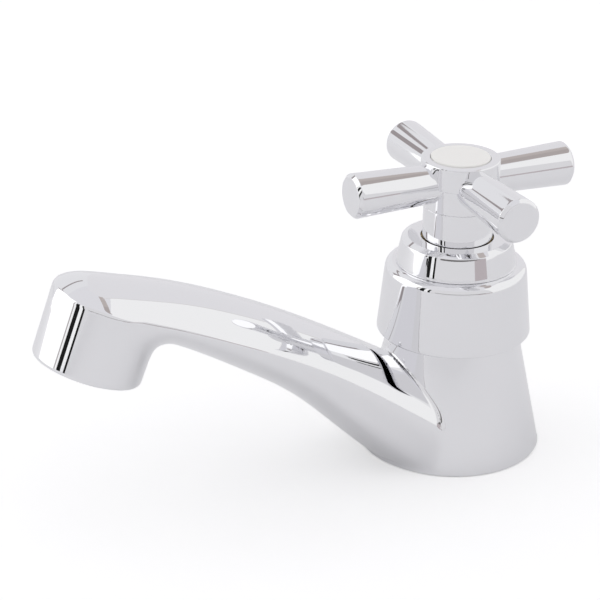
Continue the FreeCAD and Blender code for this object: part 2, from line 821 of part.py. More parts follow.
def handle_centre():
    """Hub, plain skirt under it and splined bush inside it."""
    spigot = d.skirt_radius - d.skirt_wall - d.seam_clearance
    spigot_foot = z.skirt + d.spigot_inset
    recess = d.screw_head_radius + d.loose_clearance * 2
    hub = turned("hub_blank", [
        (d.insert_radius, spigot_foot), (spigot, spigot_foot), (spigot, z.hub),
        (d.skirt_radius, z.hub), (d.skirt_radius, z.hub_step),
        (d.hub_rim_radius, z.hub_step), (d.hub_rim_radius, z.hub_top),
        (index_radius, z.hub_top), (index_radius, z.index_seat), (recess, z.index_seat),
        (recess, z.screw_seat), (d.screw_radius + d.loose_clearance, z.screw_seat),
        (d.screw_radius + d.loose_clearance, z.insert_top), (d.insert_radius, z.insert_top)])
    round_rims(hub, [(d.hub_rim_radius, z.hub_top)], d.hub_rim_round)
    holes = []
    for name, direction in ARMS.items():
        hole = primitive("Part::Cylinder", f"{name}_hole",
                         Radius=d.stud_radius + d.thread_clearance,
                         Height=d.hub_rim_radius * 2)
        hole.Placement = Placement(Vector(0, 0, 0), Rotation(Vector(0, 0, 1), direction))
        bind(hole, "Placement.Base.z", z.arm)
        holes.append(hole)
    core = primitive("Part::Cylinder", "stud_limit", (0, 0, z.hub),
                     Radius=d.skirt_radius - d.stud_length, Height=d.skirt_length * 2)
    stud_sockets = less("stud_holes", joined("stud_bores", *holes), core)
    keep("handle_hub", less("handle_hub", hub, stud_sockets))
    keep("handle_skirt", ring("handle_skirt", d.skirt_radius - d.skirt_wall, d.skirt_radius,
                              z.skirt, z.hub))

    insert = ring("spline_insert", d.spline_radius + d.running_clearance, d.insert_radius,
                  z.insert_foot, z.insert_top)
    rib = d.spline_notch - d.running_clearance * 2
    teeth_round(insert, "PartDesign::Pad", rib, z.insert_foot, d.insert_length)
    keep("spline_insert", insert)


def handle_arms():
    """Four flared arms with bevelled ends, each with a stud that screws into the hub."""
    reach = d.arm_reach
    for name, direction in ARMS.items():
        start = d.skirt_radius - d.stud_length * 0.5
        arm = turned(f"{name}_blank", [
            (0, start), (d.arm_root_radius, start),
            (d.arm_tip_radius, reach - d.arm_bevel),
            (d.arm_tip_radius - d.arm_bevel, reach), (0, reach)])
        stud_foot = d.skirt_radius - d.stud_length + d.seam_clearance
        stud = turned(f"{name}_stud", [
            (0, stud_foot), (d.stud_radius, stud_foot),
            (d.stud_radius, d.hub_rim_radius + OVERSHOOT), (0, d.hub_rim_radius + OVERSHOOT)])
        for piece in (arm, stud):
            piece.Placement = Placement(Vector(0, 0, 0), Rotation(Vector(0, 0, 1), direction))
            bind(piece, "Placement.Base.z", z.arm)
        trimmed = less(f"{name}_saddle", arm, hub_outline(name))
        keep(name, joined(name, trimmed, stud))


def hub_outline(name):
    """The space that the hub fills, a seam's width larger, for cutting an arm's saddle."""
    waist = d.skirt_radius + d.seam_clearance
    rim = d.hub_rim_radius + d.seam_clearance
    step = z.hub_step - d.seam_clearance
    return turned(f"{name}_hub_space", [
        (0, z.hub), (waist, z.hub), (waist, step), (rim, step),
        (rim, z.hub_top + OVERSHOOT), (0, z.hub_top + OVERSHOOT)])


def handle_fastening():
    """Screw and washer in the hub's recess, and the round index disc over them."""
    head = z.screw_seat + d.screw_washer_thickness
    tip = z.spindle_top - d.screw_length + d.loose_clearance
    blank = turned("screw_blank", [
        (0, tip), (d.screw_radius, tip), (d.screw_radius, head), (d.screw_head_radius, head),
        (d.screw_head_radius, head + d.screw_head_height), (0, head + d.screw_head_height)])
    socket = hexagon("screw_socket", d.screw_socket_flats,
                     head + d.screw_head_height - d.screw_socket_depth,
                     d.screw_socket_depth + OVERSHOOT)
    keep("handle_screw", less("handle_screw", blank, socket))
    keep("screw_washer", ring("screw_washer", d.screw_radius + d.seam_clearance,
                              d.screw_head_radius, z.screw_seat, head))
    outer = index_radius - d.running_clearance * 2
    stub = d.screw_head_radius + d.loose_clearance * 2 - d.seam_clearance
    stub_foot = z.index_seat - d.index_stub
    top = z.hub_top + d.index_stand
    disc = turned("index_disc", [
        (stub - 1.0, stub_foot), (stub, stub_foot), (stub, z.index_seat),
        (outer, z.index_seat), (outer, top), (0, top), (0, z.index_seat),
        (stub - 1.0, z.index_seat)])
    keep("index_disc", round_rims(disc, [(outer, top)], d.index_round))


# ---------------------------------------------------------------- aerator

def perforated(name, radius, low, high, hole_radius, spacing, rings):
    """A disc with a middle hole and rings of holes round it."""
    disc = turned(name, [(0, low), (radius, low), (radius, high), (0, high)])
    for index in range(rings + 1):
        out = spacing * index
        sketch = sketch_on(disc, f"{name}_hole_{index}", "XY_Plane", low)
        centre = Vector(out.number, 0, 0)
        sketch.addGeometry(Part.Circle(centre, Vector(0, 0, 1), hole_radius.number), False)
        row = sketch.addConstraint(Sketcher.Constraint("Radius", 0, hole_radius.number))
        sketch.setExpression(f"Constraints[{row}]", hole_radius.text)
        if index == 0:
            sketch.addConstraint(Sketcher.Constraint("Coincident", 0, 3, -1, 1))
        else:
            sketch.addConstraint(Sketcher.Constraint("PointOnObject", 0, 3, H_AXIS))
            row = sketch.addConstraint(
                Sketcher.Constraint("DistanceX", -1, 1, 0, 3, out.number))
            sketch.setExpression(f"Constraints[{row}]", out.text)
        hole = disc.newObject("PartDesign::Pocket", f"{name}_drilled_{index}")
        hole.Profile = sketch
        hole.Reversed = True
        bind(hole, "Length", high - low)
        disc.Tip = hole
        if index > 0:
            doc.recompute()
            pattern = disc.newObject("PartDesign::PolarPattern", f"{name}_ring_{index}")
            pattern.Originals = [hole]
            pattern.Axis = (sketch, ["N_Axis"])
            pattern.Angle = 360
            pattern.Occurrences = HOLES_PER_RING * index
            disc.Tip = pattern
    return disc


def aerator():
    """Housing screwed into the outlet, with a flow former, a screen and a sealing ring."""
    low = d.aerator_inset
    lip = low + d.aerator_lip
    top = low + d.aerator_length
    bore = d.aerator_radius - d.aerator_wall
    housing = turned("aerator_housing", [
        (bore - d.aerator_lip_width, low), (d.aerator_radius, low), (d.aerator_radius, top),
        (bore, top), (bore, lip), (bore - d.aerator_lip_width, lip)])
    keep("aerator_housing", aim_at_outlet(housing))
    screen_low = top - d.screen_thickness
    inner = bore - d.seam_clearance
    former = perforated("aerator_insert", inner, lip, screen_low, d.jet_radius,
                        d.jet_spacing, JET_RINGS)
    keep("aerator_insert", aim_at_outlet(former))
    screen = perforated("aerator_screen", inner, screen_low, top, d.mesh_hole_radius,
                        d.mesh_spacing, MESH_RINGS)
    keep("aerator_screen", aim_at_outlet(screen))
    gasket = ring("aerator_gasket", d.aerator_radius - d.aerator_gasket_width,
                  d.aerator_radius - d.seam_clearance, top, top + d.aerator_gasket_thickness)
    keep("aerator_gasket", aim_at_outlet(gasket))


# ---------------------------------------------------------------- build and write

def check_and_write():
    """Recompute, stop on anything that failed, and write one file for each piece."""
    doc.recompute()
    for thing in doc.Objects:
        if "Invalid" in thing.State or "Error" in thing.State:
            raise SystemExit(f"{thing.Label} failed: {thing.State}")
    os.makedirs("parts", exist_ok=True)
    for name, thing in nodes.items():
        shape = thing.Shape
        if shape.isNull() or not shape.isValid():
            raise SystemExit(f"{name} has no sound shape")
        shape.exportStep(f"parts/{name}.step")
        box = shape.BoundBox
        print(f"{name:18s} solids {len(shape.Solids)}  volume {shape.Volume:9.1f}  "
              f"z {box.ZMin:6.1f} to {box.ZMax:6.1f}")


tap_body()
tail()
covers()
headwork()
ceramic_valve()
spindle()
spindle_fittings()
handle_centre()
handle_arms()
handle_fastening()
aerator()
check_and_write()
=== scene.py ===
# %% [markdown]
# # A chrome basin tap, built on its engineering model
#
# The metal parts were first made as exact solids, which are loaded here as a fixed frame.
# Polished chrome is the hardest finish to fake: it shows nothing but its surroundings, so
# every bump in a mesh bends a reflection. That is why the visible skins are worked out
# again as smooth mathematical surfaces, and why the studio round the tap matters as much
# as the tap itself.

# %% Load the frame
import json
import math
import bmesh
import bpy
import numpy as np
from mathutils import Matrix, Vector


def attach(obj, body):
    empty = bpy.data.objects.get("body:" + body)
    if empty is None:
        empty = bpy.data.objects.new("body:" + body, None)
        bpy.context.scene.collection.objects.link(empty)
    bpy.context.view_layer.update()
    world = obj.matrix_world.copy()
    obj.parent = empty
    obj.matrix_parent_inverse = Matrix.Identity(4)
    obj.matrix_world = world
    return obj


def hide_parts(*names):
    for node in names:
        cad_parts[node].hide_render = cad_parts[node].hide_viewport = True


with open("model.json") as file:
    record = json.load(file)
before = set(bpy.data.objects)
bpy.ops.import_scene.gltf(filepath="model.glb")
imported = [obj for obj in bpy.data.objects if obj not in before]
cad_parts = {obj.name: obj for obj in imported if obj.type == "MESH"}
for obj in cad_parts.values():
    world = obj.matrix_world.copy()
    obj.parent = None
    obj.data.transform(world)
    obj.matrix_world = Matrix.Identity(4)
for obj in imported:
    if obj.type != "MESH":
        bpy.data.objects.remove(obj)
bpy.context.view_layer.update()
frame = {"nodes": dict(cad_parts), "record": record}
MM = 0.001

# %% [markdown]
# ## A mesh from a grid of points
#
# Every skin below is a sheet of points with two parameters: one runs along the shape and
# the other goes round it. Neighbouring points make four-sided faces. A grid that goes
# round has its last column joined to its first, and a closed end is drawn together in one
# point, so no hole is left.

# %% Grid helpers


def grid_faces(rows, columns):
    """Four corners for each face of a sheet that goes round: its last column meets its first.

    Point j of row i has the number i * columns + j. A face takes that point, the next one
    in its row and the same two in the row below.
    """
    i, j = np.meshgrid(np.arange(rows - 1), np.arange(columns), indexing="ij")
    k = (j + 1) % columns
    corners = np.stack([i * columns + j, i * columns + k,
                        (i + 1) * columns + k, (i + 1) * columns + j], axis=-1)
    return corners.reshape(-1, 4)


def ring_faces(rows, columns):
    """The same for a sheet whose last row meets its first as well, like a tyre."""
    return grid_faces(rows + 1, columns) % (rows * columns)


def end_fan(row_start, columns, pole, outward_first):
    """Triangles from one end row of a wrapped grid to a single pole point."""
    j = np.arange(columns)
    k = (j + 1) % columns
    pole = np.full(columns, pole)
    first, second = (k, j) if outward_first else (j, k)
    return np.stack([row_start + first, row_start + second, pole], axis=-1)


skin_slots = {}


def new_piece(name, points, faces, body, nodes, slot):
    """Puts points in millimetres and faces into a smooth mesh that rides on a body."""
    mesh = bpy.data.meshes.new(name)
    mesh.from_pydata(points.reshape(-1, 3) * MM, [], [f.tolist() for f in faces])
    mesh.shade_smooth()
    piece = bpy.data.objects.new(name, mesh)
    bpy.context.scene.collection.objects.link(piece)
    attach(piece, body)
    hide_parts(*nodes)
    skin_slots[name] = slot
    print(f"{name}: {len(mesh.vertices)} points, {len(mesh.polygons)} faces")
    return piece


# %% [markdown]
# ## Turned parts
#
# The shroud, the collar, the skirt, the hub and the arms all come off a lathe. A lathe
# part is one outline spun round an axis. The outline is given by its corners, and each
# corner gets a small rounding, because no polished edge is a knife edge: the rounding is
# what catches the thin bright line.

# %% Outline and lathe
RUN_STEP = 0.6
ARC_POINTS = 7


def rounded_outline(corners):
    """A closed outline with its corners rounded and its straight runs divided.

    Each corner is (radius, height, rounding). The rounding is an arc that touches both
    neighbouring lines: it starts at rounding / tan(half the corner's angle) before the
    corner and ends as far past it.
    """
    corners = np.array(corners, float)
    here, rounding = corners[:, :2], corners[:, 2]
    back = np.roll(here, 1, axis=0) - here
    ahead = np.roll(here, -1, axis=0) - here
    back_length = np.linalg.norm(back, axis=1)
    ahead_length = np.linalg.norm(ahead, axis=1)
    back /= back_length[:, None]
    ahead /= ahead_length[:, None]
    half = 0.5 * np.arccos(np.clip((back * ahead).sum(1), -1, 1))
    reach = np.minimum(rounding / np.tan(half), 0.49 * np.minimum(back_length, ahead_length))
    pieces = []
    for index in range(len(here)):
        start = here[index] + back[index] * reach[index]
        end = here[index] + ahead[index] * reach[index]
        pieces.append(corner_arc(start, here[index], end, half[index]))
        after = (index + 1) % len(here)
        far = here[after] + back[after] * reach[after]
        count = max(int(np.linalg.norm(far - end) / RUN_STEP), 1)
        pieces.append(end + (far - end) * np.linspace(0, 1, count + 1)[1:-1, None])
    return np.concatenate(pieces)


def corner_arc(start, corner, end, half):
    """Points on the circle that touches both lines at start and end.

    With a and b from the circle's centre to the two ends, and v the angle between them,
    a point is centre + (sin((1 - t) v) a + sin(t v) b) / sin v.
    """
    if np.linalg.norm(end - start) < 1e-6:
        return corner[None]
    middle = 0.5 * (start + end)
    to_middle = middle - corner
    centre = corner + to_middle / np.cos(half) ** 2
    a = start - centre
    b = end - centre
    angle = np.arccos(np.clip(a @ b / (np.linalg.norm(a) * np.linalg.norm(b)), -1, 1))
    blend = np.linspace(0, 1, ARC_POINTS)
    first = np.sin((1 - blend) * angle) / np.sin(angle)
    second = np.sin(blend * angle) / np.sin(angle)
    return centre + first[:, None] * a + second[:, None] * b


def lathe(name, corners, body, nodes, slot, around=192, turn=None):
    """Spins an outline: x = r cos t, y = r sin t, z = height, then turns it if asked."""
    profile = rounded_outline(corners)
    angle = np.linspace(0, 2 * np.pi, around, endpoint=False)
    radius, height = profile[:, 0, None], profile[:, 1, None]
    points = np.stack([radius * np.cos(angle), radius * np.sin(angle),
                       height + 0 * angle], axis=-1)
    faces = ring_faces(len(profile), around)
    points = points.reshape(-1, 3)
    if turn is not None:
        points = points @ np.array(turn).T
    piece = new_piece(name, points, faces, body, nodes, slot)
    return tidy(piece)


def tidy(piece):
    """Merges points that lie on the axis and turns every face outwards."""
    shell = bmesh.new()
    shell.from_mesh(piece.data)
    bmesh.ops.remove_doubles(shell, verts=shell.verts, dist=1e-7)
    bmesh.ops.dissolve_degenerate(shell, edges=shell.edges, dist=1e-8)
    bmesh.ops.recalc_face_normals(shell, faces=shell.faces)
    shell.to_mesh(piece.data)
    shell.free()
    return piece


# %% [markdown]
# ## The casting as one soft solid
#
# The body is a cone, the spout is an arched bar and the outlet is a short drum. On the
# real casting they melt into each other with hollow fillets, because the pattern maker
# filled the corners with wax. A fillet like that is easy to write as a field: for each
# shape there is a number that is negative inside and grows outside, and a soft minimum of
# two such numbers is a solid with its inner corner filled.

# %% The casting's measurements
# The body: radii and heights in millimetres, the bore in it and the bevel under its foot.
BASE_R, WAIST_R, WAIST_Z, HEAD_R, HEAD_Z = 24.0, 17.1, 32.0, 14.08, 46.0
BORE_R, BORE_STEP_Z, FOOT_BEVEL = 10.6, 20.0, 0.25
# The outlet: its place, how far its axis leans, and the drum round it.
REACH, OUTLET_Z, TILT = 102.0, 39.95, math.radians(20.0)
DRUM_R, DRUM_FLARE = 13.72, 0.0137
AXIS_UP = np.array([0.0, math.sin(TILT), math.cos(TILT)])
OUTLET = np.array([0.0, -REACH, OUTLET_Z])
# The spout: heights of its crown and keel, and half its width, at stations away from the
# axis. Over the drum the crown has four stations more and curls down a little.
BAR_END, NOSE_END, CROWN_ARC = 94.0, 118.0, 21.5
STATIONS = np.linspace(0, BAR_END, 7)
CROWN_AT = np.append(STATIONS, [98.5, 102.5, 107.0, NOSE_END])
CROWN = np.array([16.0, 25.8, 35.1, 43.8, 51.3, 57.5, 62.0, 63.15, 63.68, 62.75, 57.0])
KEEL = np.array([-24.0, -7.2, 7.4, 22.3, 33.1, 42.3, 49.8])
HALF_WIDTH = np.array([19.6, 18.1, 16.5, 16.0, 15.95, 15.35, 14.05])
# The reach of each fillet and rounding. At a corner a quarter of it is filled or cut.
BODY_FILLET, NECK_FILLET, DRUM_BLEND = 1.0, 6.0, 1.0
DRUM_EDGE, KEEL_EDGE, BAR_END_EDGE = 1.1, 1.2, 0.5
CROWN_EDGE_AT, CROWN_EDGE = [15, 35, 50, 60, 108, 110.5], [3.6, 2.8, 1.6, 0.7, 0.6, 3.6]


def smooth_curve(knots, values):
    """A natural cubic through the knots: its bends are found by one linear solve.

    In each gap the curve is the straight line plus a cubic that vanishes at both ends, and
    the bends at the knots are set so that the slope never jumps.
    """
    gap = np.diff(knots)
    slope = np.diff(values) / gap
    count = len(knots)
    system = np.eye(count)
    inner = np.arange(1, count - 1)
    system[inner, inner - 1] = gap[:-1]
    system[inner, inner] = 2 * (gap[:-1] + gap[1:])
    system[inner, inner + 1] = gap[1:]
    right = np.zeros(count)
    right[1:-1] = 6 * np.diff(slope)
    bend = np.linalg.solve(system, right)

    def curve(at):
        i = np.clip(np.searchsorted(knots, at) - 1, 0, count - 2)
        width = gap[i]
        a = (knots[i + 1] - at) / width
        b = 1 - a
        straight = a * values[i] + b * values[i + 1]
        return straight + ((a ** 3 - a) * bend[i] + (b ** 3 - b) * bend[i + 1]) * width ** 2 / 6

    return curve


crown_z = smooth_curve(CROWN_AT, CROWN)
keel_z = smooth_curve(STATIONS, KEEL)
half_width = smooth_curve(STATIONS, HALF_WIDTH)
print(f"crown over the outlet {crown_z(REACH):.2f} mm, keel at the bar's end {keel_z(BAR_END):.2f} mm")

# %% Soft minimum and soft maximum


def soft_low(a, b, reach):
    """The smaller of two fields, with a hollow fillet where they are nearly equal."""
    return np.minimum(a, b) - soft_gap(a, b, reach)


def soft_gap(a, b, reach):
    """How far a fillet fills a corner: (reach - |a - b|) squared over 4 reach."""
    return np.maximum(reach - np.abs(a - b), 0) ** 2 / (4 * reach)


def soft_high(a, b, reach):
    """The larger of two fields, with its outer corner rounded."""
    return -soft_low(-a, -b, reach)


# %% The shapes' fields
# A slope is measured this far inside a curve's ends. The crown's arc is followed out to a
# share of its radius, and its sideways slope to a smaller one, because both run away there.
SLOPE_ROOM, ARC_SHARE, SLOPE_SHARE = 0.1, 0.93, 0.9
# The fillet between cone and spout is gone at 1 mm ahead of the axis and whole 5 mm on.
FADE_START, FADE_LENGTH = 1.0, 5.0


def slope_of(curve, at, small=SLOPE_ROOM / 2):
    """Rise over run of a curve, from two points close together."""
    return (curve(at + small) - curve(at - small)) / (2 * small)


def arch_drop(across):
    """How far an arc of the crown's radius falls below its middle."""
    across = np.clip(np.abs(across), 0, CROWN_ARC * ARC_SHARE)
    return CROWN_ARC - np.sqrt(CROWN_ARC ** 2 - across ** 2)


def cone_field(p):
    """Distance outside the tapered body, which narrows evenly from base to waist."""
    lean = (WAIST_R - BASE_R) / WAIST_Z
    radius = np.hypot(p[..., 0], p[..., 1])
    return (radius - (BASE_R + lean * p[..., 2])) / math.hypot(1, lean)


def spout_field(p):
    """The spout: under its arched crown, and inside either its bar or the outlet drum.

    Crown and keel are divided by their steepness, so that near them the field is a true
    distance. The two blends that end in the drum add a quarter of the last one's reach to
    its radius.
    """
    x, s, z = p[..., 0], -p[..., 1], p[..., 2]
    at = np.clip(s, 0, NOSE_END)
    steep = np.hypot(1, slope_of(crown_z, np.clip(at, SLOPE_ROOM, NOSE_END - SLOPE_ROOM)))
    side_slope = np.tan(np.arcsin(np.clip(x / CROWN_ARC, -SLOPE_SHARE, SLOPE_SHARE)))
    over = (z - crown_z(at) + arch_drop(x)) / np.sqrt(steep ** 2 + side_slope ** 2)
    bar_at = np.clip(s, SLOPE_ROOM, BAR_END - SLOPE_ROOM)
    keel_steep = np.hypot(1, slope_of(keel_z, bar_at))
    under = (keel_z(bar_at) + arch_drop(x) - z) / np.sqrt(keel_steep ** 2 + side_slope ** 2)
    side = np.abs(x) - half_width(bar_at)
    from_outlet = p - OUTLET
    up = from_outlet @ AXIS_UP
    away = np.linalg.norm(from_outlet - up[..., None] * AXIS_UP, axis=-1)
    drum = soft_high(away - (DRUM_R + DRUM_FLARE * up), -up, DRUM_EDGE)
    neck = soft_low(soft_high(under, s - BAR_END, BAR_END_EDGE), drum, NECK_FILLET)
    low = soft_low(soft_high(side, neck, KEEL_EDGE), drum, DRUM_BLEND)
    return soft_high(over, low, np.interp(s, CROWN_EDGE_AT, CROWN_EDGE))


def shares(p):
    """The cone's field and the spout's, each with its share of the fillet between them.

    The fillet fades out towards the axis, behind which the cone has no spout to meet. The
    fade is t * t * (3 - 2 t), where t runs from 0 to 1 over the fade's length.
    """
    cone, spout = cone_field(p), spout_field(p)
    fade = np.clip((-p[..., 1] - FADE_START) / FADE_LENGTH, 0, 1)
    gap = soft_gap(cone, spout, BODY_FILLET) * fade ** 2 * (3 - 2 * fade)
    return cone - gap, spout - gap


def casting_field(p):
    """Cone and spout together, with the fillet that joins them."""
    return np.minimum(*shares(p))


def field_normals(field, p, small=0.02):
    """The direction in which a field grows fastest, from differences along each axis."""
    steps = np.eye(3) * small
    grown = [field(p + step) - field(p - step) for step in steps]
    normal = np.stack(grown, axis=-1)
    return normal / np.linalg.norm(normal, axis=-1, keepdims=True)


def march_out(field, start, direction, far, steps=48, halvings=24):
    """How far along each ray the field turns from negative to positive.

    The first crossing is bracketed by even steps, and then the bracket is halved.
    """
    near = np.zeros(start.shape[:-1])
    step = far / steps
    beyond = np.full_like(near, far)
    open_ray = np.ones(near.shape, bool)
    for index in range(1, steps + 1):
        at = index * step
        outside = field(start + direction * at) > 0
        hit = open_ray & outside
        beyond[hit] = at
        near[hit] = at - step
        open_ray &= ~outside
    for _ in range(halvings):
        middle = 0.5 * (near + beyond)
        outside = field(start + direction * middle[..., None]) > 0
        beyond = np.where(outside, middle, beyond)
        near = np.where(outside, near, middle)
    return 0.5 * (near + beyond)


# %% [markdown]
# ## The spout's skin
#
# The skin is a profile carried along a path. The path runs up the middle of the spout and
# turns down into the outlet. At each place on it rays go out to all sides, and each ray
# stops where the casting's field changes sign. So the sheet is a plain grid, place along
# the path by angle round it, yet it follows every crease and fillet.

# %% The spout's path
# Along the bar: which share of the rows lies how far out, the path's height, and the lean
# of its sections in degrees. Most rows lie near the body, where the forms are busiest.
ROW_SHARE, ROW_OUT = [0, 0.66, 1], [3.0, 46.0, 80.0]
PATH_OUT = np.array([0, 12, 24, 46, 62, 80.0])
PATH_Z = np.array([8.0, 11.5, 17.5, 32.6, 42.0, 49.5])
LEAN_OUT, LEAN = [0, 30, 80], [106, 124, 113]
# Round the neck: the point that the sections fan about, and the path's distance from it
# at each lean. In the drum: how far up its axis the path joins it.
PIVOT = np.array([83.9, 40.3])
FAN_LEAN, FAN_REACH = [20, 45, 66, 90, 113], [17.2, 16.6, 14.8, 12.0, 10.0]
FAN_SMOOTHING = 8
DRUM_DEPTH = 6.5


def spout_path(steps_bar=170, steps_turn=100, steps_drum=28):
    """Middle points and upward directions of the spout's sections, in the plane x = 0.

    Along the bar the sections lean gently. Round the neck they fan about a point in the
    open corner under it, and in the drum they lie square to its axis.
    """
    s = np.interp(np.linspace(0, 1, steps_bar), ROW_SHARE, ROW_OUT)
    bar = np.stack([s, smooth_curve(PATH_OUT, PATH_Z)(s)], axis=-1)
    bar_lean = np.radians(np.interp(s, LEAN_OUT, LEAN))
    fan_lean = np.radians(np.linspace(FAN_LEAN[-1], FAN_LEAN[0], steps_turn + 1)[1:])
    reach = np.interp(np.degrees(fan_lean), FAN_LEAN, FAN_REACH)
    window = 2 * FAN_SMOOTHING + 1
    reach = np.convolve(np.pad(reach, FAN_SMOOTHING, mode="edge"), np.ones(window) / window,
                        mode="valid")
    fan = PIVOT + reach[:, None] * np.stack([np.cos(fan_lean), np.sin(fan_lean)], axis=-1)
    drum_up = np.linspace(DRUM_DEPTH, 0.0, steps_drum + 1)[1:]
    drum = np.stack([REACH - drum_up * math.sin(TILT),
                     OUTLET_Z + drum_up * math.cos(TILT)], axis=-1)
    path = np.concatenate([bar, fan, drum])
    return path, np.concatenate([bar_lean, fan_lean, np.full(steps_drum, TILT)])


# %% The spout's skin
SPOUT_FOOT, SPOUT_FAR = 0.05, 42.0


def spout_alone(p):
    """The spout with its share of the fillet, cut off just over the deck."""
    return np.maximum(shares(p)[1], SPOUT_FOOT - p[..., 2])


def cast_rays(path, lean, turn):
    """point = middle + distance * (cos t across + sin t up), distance found by the field."""
    up = np.stack([0 * lean, -np.cos(lean), np.sin(lean)], axis=-1)
    start = np.stack([0 * lean, -path[:, 0], path[:, 1]], axis=-1)
    direction = (np.cos(turn)[..., None] * np.array([1.0, 0, 0])
                 + np.sin(turn)[..., None] * up[:, None, :])
    start = np.broadcast_to(start[:, None, :], direction.shape)
    distance = march_out(spout_alone, start, direction, SPOUT_FAR)
    return start + direction * distance[..., None]


def smoothed(weight, axis, half):
    """The mean of each value and half neighbours either side, along one axis of a grid.

    Round the section the neighbours wrap. Along the path the end values are repeated.
    """
    padded = [(0, 0), (half, half)] if axis else [(half, half), (0, 0)]
    weight = np.pad(weight, padded, mode="wrap" if axis else "edge")
    window = np.lib.stride_tricks.sliding_window_view(weight, 2 * half + 1, axis=axis)
    return window.mean(axis=-1)


def gathered(points, turn, pull=2.2):
    """New angles for the rays of each row, closer together where the section bends.

    Each step round the section has a weight: its length over the mean length, plus pull
    times its bend over the mean bend. The new angles share out the sum of the weights.
    """
    ring_step = np.roll(points, -1, axis=1) - points
    length = np.linalg.norm(ring_step, axis=-1)
    heading = ring_step / length[..., None]
    bend = np.linalg.norm(heading - np.roll(heading, 1, axis=1), axis=-1)
    bend = bend + np.roll(bend, -1, axis=1)
    weight = (length / length.mean(axis=1, keepdims=True)
              + pull * bend / bend.mean(axis=1, keepdims=True))
    weight = smoothed(smoothed(weight, axis=1, half=3), axis=0, half=4)
    total = np.concatenate([0 * weight[:, :1], np.cumsum(weight, axis=1)], axis=1)
    total /= total[:, -1:]
    known = np.append(turn, 2 * np.pi)
    share = np.linspace(0, 1, len(turn), endpoint=False)
    return np.array([np.interp(share, row, known) for row in total])


def spout_skin(around=300):
    """The rays' ends, with the rays gathered towards the edges of each section."""
    path, lean = spout_path()
    turn = np.linspace(0, 2 * np.pi, around, endpoint=False)
    even = cast_rays(path, lean, np.broadcast_to(turn, (len(path), around)))
    return cast_rays(path, lean, gathered(even, turn))


# %% The body's skin
BODY_FAR = 34.0
NO_LIMIT = 99.0


def body_alone(p):
    """The cone with its share of the fillet."""
    return shares(p)[0]


def body_skin(around=460, steps=180):
    """Rays from the axis at each height and angle, stopped where the cone's field ends.

    The angle is u - 0.5 sin u, counted from under the spout, so that the rays are closest
    where the spout joins. The sheet is closed into a ring: it runs up the outside, over the
    head and down the bore again, and along the underside.
    """
    height = np.linspace(0.0, HEAD_Z, steps)
    share = np.linspace(0, 2 * np.pi, around, endpoint=False)
    turn = share - 0.5 * np.sin(share) - np.pi / 2
    flat = np.stack([np.cos(turn), np.sin(turn), 0 * turn], axis=-1)
    start = np.zeros((steps, around, 3))
    start[..., 2] = height[:, None]
    direction = np.broadcast_to(flat, start.shape)
    radius = march_out(body_alone, start, direction, BODY_FAR)
    head = np.interp(height, [0, WAIST_Z, HEAD_Z], [NO_LIMIT, NO_LIMIT, HEAD_R])
    radius = np.minimum(radius, head[:, None])
    outside = start + direction * radius[..., None]
    foot = outside[:1] * [1, 1, 0] * (1 - FOOT_BEVEL / radius[:1, :, None])
    outside[0, :, 2] = FOOT_BEVEL
    bore = BORE_R * flat
    inside = [bore + [0, 0, HEAD_Z], bore + [0, 0, BORE_STEP_Z], bore]
    return np.concatenate([foot, outside, np.array(inside)])


def field_shading(piece, field, near=0.02):
    """Gives each point that lies on the field's surface the field's own normal."""
    count = len(piece.data.vertices)
    place = np.empty(count * 3)
    piece.data.vertices.foreach_get("co", place)
    place = place.reshape(-1, 3) / MM
    normal = field_normals(field, place)
    off = np.abs(field(place)) > near
    normal[off] = 0.0
    piece.data.normals_split_custom_set_from_vertices(normal)
    print(f"{piece.name}: {int((~off).sum())} of {count} points shaded by the field")


# %% Both skins of the casting
# The aerator's recess, as radius and depth: a small lead-in, a straight wall, a step.
RECESS = [(12.4, 0.0), (12.08, 0.3), (12.08, 9.0), (9.0, 9.0), (9.0, 13.0)]


def spout_piece():
    """The spout's skin closed at both ends, with the recess for the aerator."""
    skin = spout_skin()
    around = skin.shape[1]
    turn = np.linspace(0, 2 * np.pi, around, endpoint=False)
    lean_up = np.array([0, -math.cos(TILT), math.sin(TILT)])
    ring = np.cos(turn)[:, None] * np.array([1.0, 0, 0]) + np.sin(turn)[:, None] * lean_up
    inner = np.array([OUTLET + AXIS_UP * up + ring * radius for radius, up in RECESS])
    rows = np.concatenate([skin, inner])
    poles = np.array([skin[0].mean(axis=0), OUTLET + AXIS_UP * RECESS[-1][1]])
    points = np.concatenate([rows.reshape(-1, 3), poles])
    last = len(rows) * around
    faces = [*grid_faces(len(rows), around),
             *end_fan(0, around, last, True),
             *end_fan(last - around, around, last + 1, False)]
    return points, faces


points, faces = spout_piece()
spout = new_piece("spout_skin", points, faces, "body", ["tap_body"], "polished_chrome")
field_shading(spout, casting_field)
points = body_skin()
faces = ring_faces(*points.shape[:2])
body = new_piece("body_skin", points, faces, "body", ["tap_body"], "polished_chrome")
tidy(body)
field_shading(body, casting_field)

# %% [markdown]
# ## Shroud, collar, skirt and hub
#
# From the deck upwards the turned covers hide the valve: a bell shroud with a round
# shoulder, a screwed collar with a bevelled top, the handle's skirt that dips into the
# collar, and the hub with its wider rim. They are spun from outlines whose numbers come
# from the engineering model.

# %% Sizes that the covers share
# Radii, and heights above the deck. A corner out of sight is only broken, and a fine one
# is rounded as little as plating rounds it.
BROKEN, FINE = 0.1, 0.05
SHROUD_FOOT, SHROUD_TOP, COLLAR_TOP = 32.2, 51.0, 58.2
SKIRT_R, SKIRT_FOOT, SKIRT_TOP = 9.1, 57.8, 66.8
HUB_STEP, HUB_TOP, RIM_R = 73.4, 79.75, 10.2
INDEX_R, INDEX_SEAT, INDEX_TOP = 7.67, 77.95, 80.1

